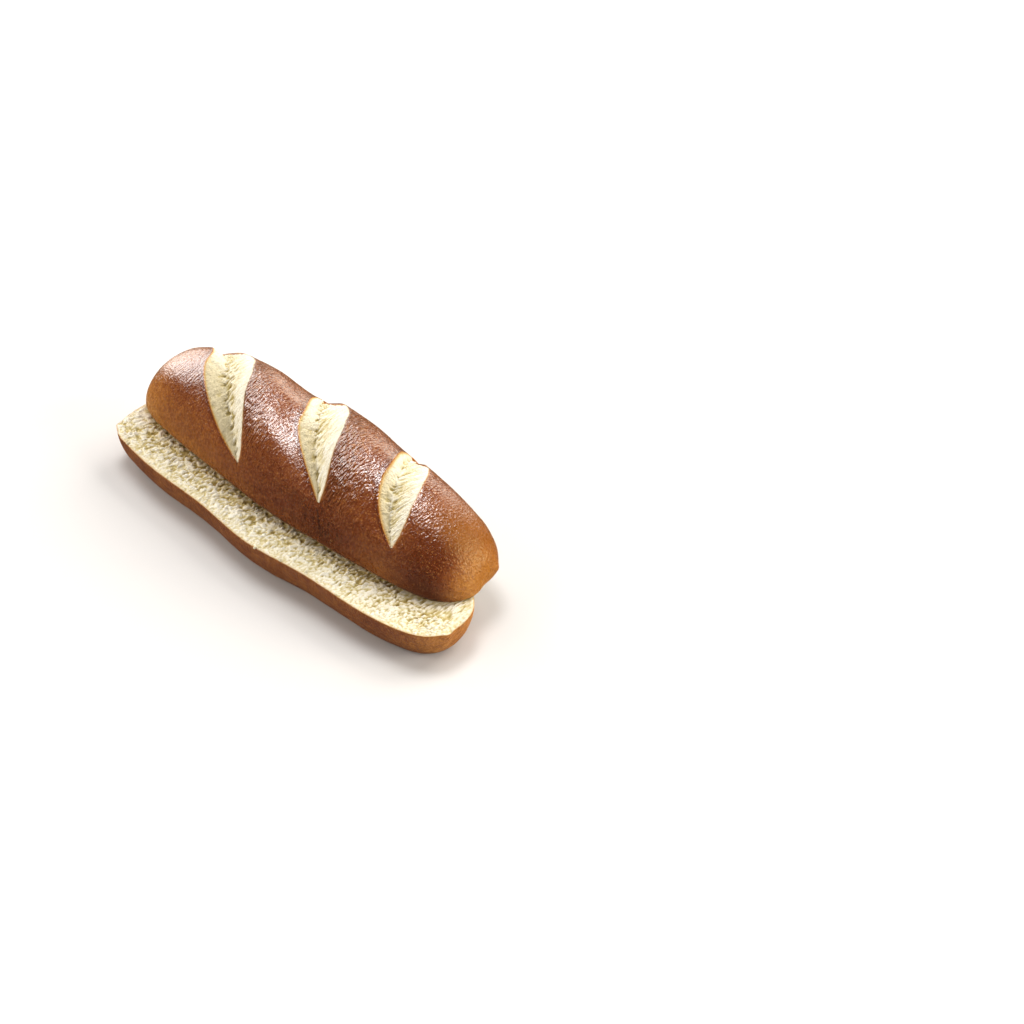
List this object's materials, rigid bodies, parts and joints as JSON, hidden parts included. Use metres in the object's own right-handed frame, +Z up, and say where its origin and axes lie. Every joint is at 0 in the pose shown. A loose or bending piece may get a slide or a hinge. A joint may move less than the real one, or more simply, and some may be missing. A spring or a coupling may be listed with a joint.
{
  "type": "pretzel hot dog bun",
  "caption": "Long pretzel hot dog bun with a glossy brown crust and slanting pale scores, cut right through, its domed top half slid back to bare the crumb of the flat bottom half.",
  "frame": {"origin": "middle of the bun's footprint box, on the surface that it rests on", "axes": "+X along the bun to its right end, +Y to its far side, where the top half was slid, +Z up"},
  "size_m": [0.178, 0.0662, 0.0489],
  "materials": {
    "bottom_crust": "satin orange-brown bread crust",
    "top_crust": "glossy dark brown lye-dipped crust, finely wrinkled",
    "crumb": "matt torn cream crumb"
  },
  "bodies": {
    "root": {"bottom_half": "bottom_crust", "top_half": "top_crust"}
  },
  "joints": []
}
